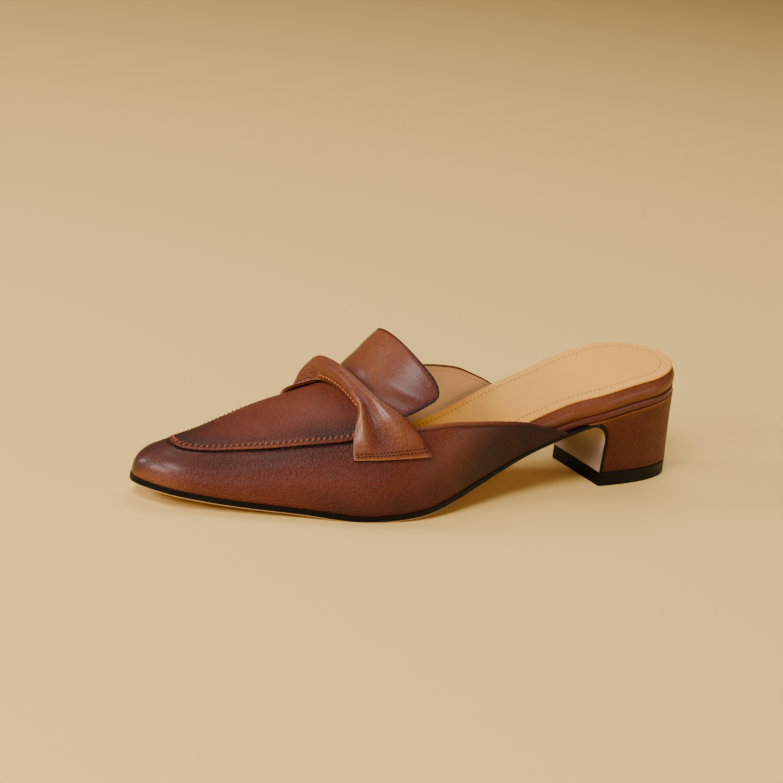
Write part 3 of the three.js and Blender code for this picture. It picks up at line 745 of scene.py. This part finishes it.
def layer(name, to, side, low, high, dish=0.0, burnish=0.5):
    """side gives how far in the edge stands at each share of the layer's thickness."""
    def place(u, v):
        turn = u * 4
        top = (turn >= 1) & (turn <= 2)
        under = turn > 3
        across = np.select([turn < 1, top, turn <= 3], [0.0, turn - 1, 1.0], 4 - turn)
        share = np.select([turn < 1, top, turn <= 3], [turn, 1.0, 3 - turn], 0.0)
        at = to * (1 - np.cos(v * math.pi)) / 2
        height = mix(low(at), high(at), share)
        points = layer_point(at, across, height, side(share))
        middle_part = np.sin(math.pi * across) * np.sin(math.pi * np.clip(at / to, 0, 1)) ** 0.5
        points[:, 2] -= dish * middle_part * top
        # Each layer is darker along its lower edge: painted shade where it sits on the layer below.
        return points, {"burnish": np.full(len(u), burnish) + 0.2 * hill(share, 0, 0.2),
                        "shine": 0.7, "shade": 0.60 * smooth(0.08, 0.5, at)}

    return solid_piece(name, 120, 170, place, edge=0.1, segments=1, angle=60)


board = layer("insole_board_wrap", 0.985, lambda m: 0.2 * (2 * np.abs(m - 0.5)) ** 3,
              lambda at: 0.04 + 0 * at, lambda at: board_top(at) + 0.12, burnish=0.60)
into_shoe(board, upper_leather, "brown_leather", "insole_board")
# The roll's light tone is partly its own colour and partly a painted highlight for the sheen on its top.
bed = layer("footbed_roll", 0.97, lambda m: np.where(m < 0.42, 1.1, 1.6) * (2 * np.abs(m - 0.42)) ** 2,
            lambda at: board_top(at) + 0.16, lambda at: bed_top(at) + 0.24, burnish=0.34)
into_shoe(bed, upper_leather, "brown_leather", "footbed")
sock = layer("sock_leather", 0.955, lambda m: SOCK_MARGIN + 0.5 * m**6,
             lambda at: bed_top(at) + GAP, lambda at: bed_top(at) + GAP + SOCK_THICKNESS, dish=0.5)
into_shoe(sock, sock_tan, "tan_lining", "sock")

# %% [markdown]
# A row of pinhole stitches runs round the sock, about 5 mm in from its edge. They are small and dark.

# %% Stitches of the sock
SOCK_STITCH_IN = 5.0


def sock_seam(side):
    at = np.append(0.0, 0.60 * (1 - np.cos(np.linspace(0.02, 1, 240) * math.pi / 2)))
    plan = plan_point(at, side, np.full(len(at), -SOCK_MARGIN - SOCK_STITCH_IN) - bed_inset(at, bed_top(at)))
    height = rise(-plan[:, 0] / LENGTH) + bed_top(at) + GAP + SOCK_THICKNESS - 0.12
    path = np.concatenate([plan, height[:, None]], -1)
    return path, np.tile([0.0, 0.0, 1.0], (len(path), 1))


sew("sock_stitches", [sock_seam(-1), sock_seam(1)], thread_tan, "tan_lining",
    pitch=2.0, length=1.1, thread=0.6, sink=0.0)

# %% [markdown]
# ## Upper and lining
# The upper is one wall that wraps the last from sole edge to sole edge, open behind. Its topline dips from
# the tongue down to the sole on both sides, more on the outer side. The tan lining is a second, thinner
# wall inside it. Both are flat cuts laid on the last; grooves for seams are pressed in along the edges.

# %% Upper
TOP_AT = [0.622, 0.620, 0.606, 0.573, 0.530, 0.466, 0.428, 0.392, 0.353, 0.319, 0.268]
topline_outer = steady([0.00, 0.46, 0.52, 0.552, 0.60, 0.70, 0.755, 0.81, 0.865, 0.92, 1.00], TOP_AT)
topline_inner = steady([0.00, 0.40, 0.44, 0.475, 0.515, 0.575, 0.64, 0.71, 0.80, 0.875, 1.00], TOP_AT)
apron_half = steady([0.939, 0.938, 0.934, 0.924, 0.901, 0.863, 0.788, 0.735, 0.657],
                    [0.00, 0.08, 0.17, 0.23, 0.29, 0.35, 0.45, 0.48, 0.50])
APRON_TIP, APRON_END = 0.939, 0.657
LEATHER, LINING = 1.1, 0.55


def topline(around):
    return np.where(around < 0, topline_outer(-around), topline_inner(around))


around_line = np.linspace(-1, 1, 600)
topline_edge = last_point(topline(around_line), around_line)
apron_at = mix(APRON_TIP, APRON_END, np.linspace(0, 1, 400) ** 2)
apron_edge = np.concatenate([last_point(apron_at, s * apron_half(apron_at)) for s in (-1, 1)])


def upper_place(u, v):
    around = u * 2 - 1
    at = mix(1.0, topline(around), smooth(0, 1, v))
    points = last_point(at, around)
    normals = last_normal(np.clip(at, 0.0, 0.998), np.clip(around, -0.998, 0.998))
    to_top, to_apron = distance_to(points, topline_edge), distance_to(points, apron_edge)
    inside = np.abs(around) < apron_half(np.clip(at, APRON_END, APRON_TIP))
    covered = inside & (at < APRON_TIP) & (at > APRON_END)
    above_sole = points[:, 2] - rise(at) - GAP
    press = -0.16 * hill(to_top, 2.0, 0.5) - 0.35 * np.clip(1 - to_top / 0.9, 0, 1) ** 2
    press += (0.42 * smooth(5.0, 1.4, to_apron) - 0.75 * hill(to_apron, 0.0, 0.55)) * ~covered
    press -= 0.12 * np.clip(1 - above_sole / 1.4, 0, 1) ** 2
    press += 0.16 * waves(points, 38, 5) * smooth(0, 8, to_top)
    side_way = np.clip((np.abs(around) - 0.5) / 0.5, 0, 1)
    vamp = smooth(0.50, 0.66, at)
    band = 0.82 - 0.22 * smooth(0.05, 0.60, side_way)
    band += 0.26 * smooth(0.6, 1.0, side_way) * smooth(0.85, 0.70, at)
    toe = smooth(0.90, 0.985, at)
    vamp_tone = mix(band, 0.42 + 0.40 * (1 - side_way) ** 2, toe)
    quarter_tone = 0.50 + 0.44 * smooth(0.52, 0.36, at) + 0.34 * smooth(0.45, 0.95, side_way)
    tone = mix(quarter_tone, vamp_tone, vamp)
    # The tone is darker in the groove beside the apron's edge, which is painted shade. It is lighter along
    # the topline edge, which is a painted highlight.
    tone += 0.25 * hill(to_apron, 0.3, 0.9) - 0.40 * hill(to_top, 0.0, 1.2)
    points = points + normals * press[:, None]
    points[:, 2] -= 0.38 * np.clip(1 - above_sole / 0.8, 0, 1)
    shine = 0.12 + 0.75 * toe + 0.22 * smooth(0.40, 0.62, side_way) * vamp
    shine += 0.30 * (1 - vamp) * hill(at, 0.47, 0.07)
    return points, {"burnish": np.clip(tone, 0, 1), "shine": shine}


upper = sheet_of_leather("upper_leather", 170, 150, upper_place, LEATHER, edge=0.3)
into_shoe(upper, upper_leather, "brown_leather", "upper")


def lining_place(u, v):
    around = u * 2 - 1
    inset = LEATHER + 0.12
    lower = 0.45 / LENGTH
    at = mix(1 - inset / LENGTH, np.minimum(topline(around) + lower, 1), smooth(0, 1, v))
    points = last_point(at, around, inset)
    to_top = distance_to(points, topline_edge)
    return points, {"shade": 0.30 * hill(to_top, 0.0, 1.8) + 0.10 * smooth(0.5, 0.7, at)}


lining = sheet_of_leather("upper_lining", 110, 90, lining_place, LINING, edge=0.15)
into_shoe(lining, lining_leather, "tan_lining")

# %% [markdown]
# ## Apron
# The apron is the flat-looking plate on the toe. On a shoe of this kind its edge is raised and whipped:
# slanted stitches bind a narrow ridge, and the vamp drops into a dark line beside it. The ridge is pressed
# out of the cut near its edge, and a row of slanted stitches lies just inside it.

# %% Apron
APRON_THICKNESS = 1.2


def apron_place(u, v):
    side = u * 2 - 1
    at = mix(APRON_TIP, APRON_END, 1 - np.cos(v * math.pi / 2))
    around = side * apron_half(at)
    points, normals = last_point(at, around), last_normal(at, around)
    to_edge = distance_to(points, apron_edge)
    press = GAP + APRON_THICKNESS - 0.35 * smooth(4.5, 1.0, to_edge)
    press = press + 0.34 * hill(to_edge, 0.95, 0.55) - 0.26 * hill(to_edge, 2.4, 0.6)
    press = press - 0.30 * np.clip(1 - to_edge / 0.5, 0, 1) ** 2
    press = press + 0.12 * waves(points, 30, 11) * smooth(2, 9, to_edge)
    # Along the very edge the tone is lighter, a painted highlight. Along the stitch row 1.9 mm in it is
    # darker, painted shade between the stitches. On the outer side towards the back it is darker, painted
    # shade.
    tone = 0.50 + 0.18 * smooth(0.76, 0.92, at) + 0.20 * hill(to_edge, 4, 5) - 0.25 * hill(to_edge, 0.5, 0.6)
    tone = tone + 0.14 * hill(to_edge, 1.9, 0.7)
    tone = tone + 0.18 * smooth(0.0, 0.9, -side) * smooth(0.8, 0.7, at)
    return points + normals * np.asarray(press)[:, None], {"burnish": np.clip(tone, 0, 1), "shine": 0.15}


apron = sheet_of_leather("apron_leather", 120, 170, apron_place, APRON_THICKNESS, edge=0.3)
into_shoe(apron, upper_leather, "brown_leather", "apron")


def apron_seam(inwards, out):
    """A line that runs round the apron, so far in from its edge."""
    at = np.concatenate([apron_at[::-1], apron_at[1:]])
    side = np.concatenate([-np.ones(len(apron_at)), np.ones(len(apron_at) - 1)])
    edge = last_point(at, side * apron_half(at))
    run = unit(np.gradient(edge, axis=0))
    normals = last_normal(at, side * apron_half(at))
    inner = unit(np.cross(run, normals))
    towards = last_point(np.full(len(at), 0.8), np.zeros(len(at))) - edge
    inner *= np.sign((inner * towards).sum(-1))[:, None]
    return edge + inner * inwards + normals * out, normals


APRON_PITCH = 2.3
sew("apron_stitches", [apron_seam(1.9, GAP + APRON_THICKNESS)], thread_brown, "brown_leather",
    pitch=APRON_PITCH, length=2.1, thread=0.95, slant=0.95, sink=0.05)
sew("apron_edge_stitches", [apron_seam(0.15, GAP + APRON_THICKNESS * 0.55)], thread_dark, "brown_leather",
    pitch=APRON_PITCH, length=0.9, thread=0.5, slant=0.9, sink=0.05)

# %% [markdown]
# ## Saddle strap
# The strap is a band that is sewn down flat on both sides and rolled over itself in the middle. The roll
# leaves soft folds that run out into the two feet. Cloth simulation would crumple it; a rule with a rolled
# profile and a few given ridges and troughs keeps the shape that the leather holds.

# %% Strap
STRAP_THICKNESS, STRAP_ROLL, STRAP_LIFT, STRAP_LEATHER = 1.6, 8.5, 1.8, 1.3
STRAP_ACROSS = [-1.00, -0.92, -0.85, -0.78, -0.62, -0.45, -0.25,
                0.00, 0.20, 0.35, 0.45, 0.58, 0.75, 0.90, 1.00]
strap_curves = {key: steady(STRAP_ACROSS, row) for key, row in {
    "front": [.687, .687, .685, .682, .673, .660, .662, .666, .672, .689, .699, .705, .701, .697, .694],
    "back": [.563, .570, .577, .585, .606, .625, .635, .639, .641, .638, .633, .620, .600, .578, .566],
    "low": [-.640, -.600, -.550, -.510, -.430, -.310, -.170, .000, .140, .245, .310, .400, .500, .590, .640],
    "high": [-.730, -.675, -.620, -.565, -.445, -.315, -.165, .000, .140, .250, .320, .420, .530, .640, .710],
    "rise": [.00, .08, .13, .20, .35, .55, .76, .95, 1.07, 1.04, .90, .52, .24, .08, .00],
    "peak": [.30, .20, .20, .20, .25, .38, .48, .50, .52, .52, .52, .55, .50, .40, .30],
}.items()}


def strap_under(around, m):
    """Height that the strap's underside rests at: over the apron and the tongue, and down to the upper."""
    lift = mix(0.0, STRAP_LIFT, smooth(0.5, 0.9, m))
    return GAP + (APRON_THICKNESS + lift) * smooth(0.66, 0.45, np.abs(around))


def strap_folds(a, m):
    """Ridges and troughs, in mm. a goes across the shoe and m from the front edge to the back edge."""
    near = smooth(-0.97, -0.80, a) * smooth(-0.30, -0.50, a)
    far = smooth(0.80, 0.60, a) * smooth(0.05, 0.25, a)
    folds = 1.0 * hill(m, 0.15, 0.10) * near - 1.0 * hill(m, 0.40, 0.15) * near
    folds += 0.6 * hill(m, 0.68, 0.14) * near
    folds += 0.7 * hill(m, 0.03, 0.05) * far - 0.6 * hill(m, 0.17, 0.05) * far
    return folds


def strap_point(a, m):
    """Point on the strap's outer face. A lip lies on the apron under the far end of the roll."""
    front, back = strap_curves["front"](a), strap_curves["back"](a)
    low, high = strap_curves["low"](a), strap_curves["high"](a)
    lip = 0.22 * smooth(0.12, 0.30, a) * smooth(0.95, 0.50, a)
    rolled_part = np.clip((m - lip) / (1 - lip), 0, 1)
    skew = rolled_part ** (math.log(0.5) / np.log(strap_curves["peak"](a)))
    cove = 0.30 * np.clip(m / np.maximum(lip, 0.02), 0, 1) ** 2 * smooth(0.0, 0.12, lip)
    roll = np.maximum(dome(1 - np.abs(2 * skew - 1), 2.2), cove * (m < 0.5))
    rest = mix(STRAP_LEATHER + 0.1, STRAP_THICKNESS, smooth(0.1, 0.4, m))
    proud = rest + (STRAP_ROLL - STRAP_THICKNESS) * strap_curves["rise"](a) * roll
    around = mix(low, high, m)
    return over_last(mix(front, back, m), around, strap_under(around, m) + proud + strap_folds(a, m))


def strap_place(u, v):
    a = v * 2 - 1
    rolled = smooth(0.0, 0.5, strap_curves["rise"](a))
    m = mix(u, (1 - np.cos(u * math.pi)) / 2, rolled)
    folds = strap_folds(a, m)
    edge = hill(np.abs(a), 1.0, 0.02) + hill(m, 0, 0.02) * smooth(0.4, 0.7, np.abs(a))
    # Ridges are lighter and troughs darker: a painted highlight and painted shade on the folds. The edges are
    # lighter, a painted highlight. The back edge is darker, painted shade where the strap meets the tongue.
    tone = 0.40 - 0.22 * np.clip(folds, -1, 1) - 0.35 * edge + 0.3 * hill(m, 1, 0.05)
    tone -= 0.08 * smooth(0.6, 1, m) * smooth(0.5, 0.9, np.abs(a))
    shine = 0.35 + 1.5 * np.clip(folds, 0, 1) - 0.2 * edge
    return strap_point(a, m), {"burnish": np.clip(tone, 0, 1), "shine": shine}


strap = sheet_of_leather("strap_leather", 90, 300, strap_place, STRAP_LEATHER, edge=0.35)
into_shoe(strap, strap_leather, "brown_leather", "strap")


def strap_seam(a, m):
    """A line over the strap with its normals."""
    a, m = np.broadcast_arrays(np.asarray(a, float), np.asarray(m, float))
    step = 2e-3
    normals = unit(np.cross(strap_point(a + step, m) - strap_point(a - step, m),
                            strap_point(a, m + step) - strap_point(a, m - step)))
    at = mix(strap_curves["front"](a), strap_curves["back"](a), m)
    outwards = last_normal(at, mix(strap_curves["low"](a), strap_curves["high"](a), m))
    return strap_point(a, m), normals * np.sign((normals * outwards).sum(-1))[:, None]


across_foot = np.linspace(0.03, 0.97, 120)
foot_rows = [strap_seam(side * inset, across_foot) for side in (-1, 1) for inset in (0.955, 0.925)]
sew("strap_foot_stitches", foot_rows, thread_dark, "brown_leather",
    pitch=1.5, length=1.2, thread=0.55, slant=0.3, sink=0.02)
sew("strap_seam_stitches", [strap_seam(np.linspace(-0.45, 0.14, 160), 0.02)], thread_rose, "brown_leather",
    pitch=2.1, length=1.5, thread=0.5, sink=0.0)

# %% [markdown]
# ## Tongue
# The tongue is a stiff piece that is tucked under the strap, hugs the upper there and then stands away from
# it, flaring backwards with round corners. It is the strap's cut with another rule: its points pass from
# lying on the last to standing free.

# %% Tongue
TONGUE = {"tuck": 0.652, "hug": 0.464, "run": 0.11, "reach": 21.7, "lift": 20.7, "width": 58.3, "root": 0.91,
          "drop_outer": 17.0, "drop_inner": 12.8, "sweep": 11.7, "shift": 2.0, "arc": 0.49, "leave": 0.04,
          "leave_outer": 0.50, "leave_inner": 0.35, "bend": 0.34, "corner": 0.15, "corner_from": 0.78}
TONGUE_THICKNESS = 1.8


def tongue_point(q, r, out=0.0):
    root = last_point(TONGUE["tuck"], 0.0)
    hugging = over_last(TONGUE["tuck"] - TONGUE["run"] * r, q * TONGUE["hug"], GAP + out + 0 * q)
    arc = TONGUE["arc"]
    bow = (1 - np.cos(q * arc)) / (1 - math.cos(arc))
    half = TONGUE["width"] / 2 * mix(TONGUE["root"], 1, r)
    free = np.stack([
        root[0] + TONGUE["reach"] * r + TONGUE["sweep"] * q * q * r,
        TONGUE["shift"] + np.sin(q * arc) / math.sin(arc) * half,
        root[2] + TONGUE["lift"] * r - np.where(q < 0, TONGUE["drop_outer"], TONGUE["drop_inner"]) * bow,
    ], -1)
    leave = TONGUE["leave"] + np.where(q < 0, TONGUE["leave_outer"] * q**2, TONGUE["leave_inner"] * q**4)
    return mix(hugging, free, smooth(leave, leave + TONGUE["bend"], r)[:, None])


def tongue_place(u, v):
    q = u * 2 - 1
    to_edge = (1 - np.abs(q)) / (1 - TONGUE["corner_from"])
    r = v * (1 - TONGUE["corner"] * (1 - dome(to_edge, 2)))
    step = 0.01
    along = tongue_point(q, r + step) - tongue_point(q, r - step)
    across = tongue_point(q + step, r) - tongue_point(q - step, r)
    normals = unit(np.cross(along, across))
    thick = mix(APRON_THICKNESS, TONGUE_THICKNESS, smooth(0.55, 0.85, r))
    points = tongue_point(q, r) + normals * thick[:, None]
    rim = np.minimum((1 - v) * 34, (1 - np.abs(q)) * 33)
    points = points - normals * (0.14 * hill(rim, 1.3, 0.35))[:, None]
    # The tongue darkens towards its base: painted shade where it goes under the strap. Its dark rim is the
    # edge's own colour.
    tone = 0.34 + 0.7 * hill(rim, 0, 0.9) + 0.26 * smooth(0.2, 1.0, -q) + 0.30 * smooth(0.5, 0.1, v)
    return points, {"burnish": np.clip(tone, 0, 1), "shine": 0.65 * smooth(0.6, 3.0, rim)}


tongue = sheet_of_leather("tongue_leather", 110, 90, tongue_place, 0.9, edge=0.35)
into_shoe(tongue, strap_leather, "brown_leather", "tongue")

# %% [markdown]
# ## Topline stitches
# A row of dark stitches holds upper and lining together, 2 mm below the topline. It shows on both faces.

# %% Stitches of the topline
def topline_seam(below, inset):
    """The topline moved down the face by so much, on the outer face or inside."""
    around = np.concatenate([np.linspace(-0.985, -0.30, 500), np.linspace(0.30, 0.985, 500)])
    at = topline(around)
    edge = last_point(at, around, inset)
    normals = last_normal(at, around)
    run = unit(np.gradient(edge, axis=0))
    down = unit(np.cross(run, normals))
    towards = last_point(at + 0.02, around, inset) - edge
    down *= np.sign((down * towards).sum(-1))[:, None]
    return edge + down * below, normals


outer_face, outer_normals = topline_seam(2.0, 0.12)
inner_face, inner_normals = topline_seam(1.7, LEATHER + LINING + 0.12)
half_way = len(outer_face) // 2
sew("topline_stitches", [(outer_face[:half_way], outer_normals[:half_way]),
                         (outer_face[half_way:], outer_normals[half_way:])],
    thread_dark, "brown_leather", pitch=1.5, length=1.15, thread=0.5, sink=0.02)
sew("topline_inner_stitches", [(inner_face[:half_way], -inner_normals[:half_way]),
                               (inner_face[half_way:], -inner_normals[half_way:])],
    thread_tan, "tan_lining", pitch=1.8, length=1.3, thread=0.4, sink=0.05)

# %% [markdown]
# ## Paint on the sole's edge
# The faces at the sole's side get the black paint, and the bevel and the underside stay beige.

# %% Sole edge
sole_mesh = outsole.data
for face in sole_mesh.polygons:
    sideways = math.hypot(face.normal.x, face.normal.y)
    centre = np.array(face.center) * 1000 - SHIFT
    on_breast = centre[0] > bend_x
    if on_breast:
        painted = abs(face.normal.y) > 0.3
    else:
        painted = face.normal.z > -0.35 or (centre[0] > -0.5 * LENGTH and abs(face.normal.y) > 0.3)
    face.material_index = 1 if painted else 0
print("painted faces:", sum(face.material_index for face in sole_mesh.polygons))

# %% [markdown]
# ## Floor, light and camera
# A plain pale floor and soft boxes. The key stands in front on the left. Two low and wide ones draw the
# streaks along the toe and the side, one stands behind for the strap's ridges, one hangs overhead, and a
# weak one from the right gives the rear its sheen. The camera keeps the angle to the shoe that was
# measured.

# %% Stage
bpy.ops.object.select_all(action="DESELECT")
bpy.ops.mesh.primitive_plane_add(size=12, location=(0, 0, 0))
floor = bpy.context.object
floor.name = "floor"
finish = Finish("pale_floor")
floor.data.materials.append(finish.shade(base_color=(0.82, 0.52, 0.145, 1), roughness=0.9))


def softbox(name, place, aim, size, power, colour=(1, 1, 1)):
    data = bpy.data.lights.new(name, "AREA")
    data.shape, data.size, data.size_y = "RECTANGLE", *size
    data.energy, data.color = power, colour
    light = bpy.data.objects.new(name, data)
    bpy.context.scene.collection.objects.link(light)
    light.location = place
    light.rotation_euler = (Vector(aim) - Vector(place)).to_track_quat("-Z", "Y").to_euler()
    return light


softbox("key", (-0.85, -0.80, 1.45), (0, 0, 0.03), (0.6, 0.5), 24, (1.0, 0.98, 0.94))
softbox("low", (-0.55, -1.50, 0.80), (-0.03, 0, 0.03), (0.9, 0.22), 3, (1.0, 0.98, 0.95))
softbox("toe", (-1.32, -0.48, 0.74), (-0.05, 0, 0.03), (0.80, 0.36), 17, (1.0, 0.98, 0.95))
softbox("top", (0.5, 0.6, 1.5), (0, 0, 0.02), (1.2, 0.8), 17, (1.0, 0.97, 0.92))
softbox("rim", (-1.1, 0.7, 0.75), (-0.05, 0, 0.04), (0.35, 0.30), 10, (1.0, 0.97, 0.94))
softbox("side", (0.95, -1.1, 0.24), (0, 0, 0.04), (0.8, 0.35), 4, (1.0, 0.95, 0.9))
world = bpy.data.worlds.new("studio")
world.use_nodes = True
world.node_tree.nodes["Background"].inputs["Color"].default_value = (0.81, 0.70, 0.52, 1)
world.node_tree.nodes["Background"].inputs["Strength"].default_value = 0.14
bpy.context.scene.world = world

camera_data = bpy.data.cameras.new("camera")
camera = bpy.data.objects.new("camera", camera_data)
bpy.context.scene.collection.objects.link(camera)
CAMERA_PLACE = (-0.47625, -0.78592, 0.32613)
CAMERA_TURN = (72.5411, -6.4619, -28.3356)
camera_data.lens, camera_data.sensor_width = 106.6, 36.0
camera.location = CAMERA_PLACE
camera.rotation_euler = [math.radians(angle) for angle in CAMERA_TURN]
bpy.context.scene.camera = camera
print("camera is", round(camera.location.length, 3), "m away")
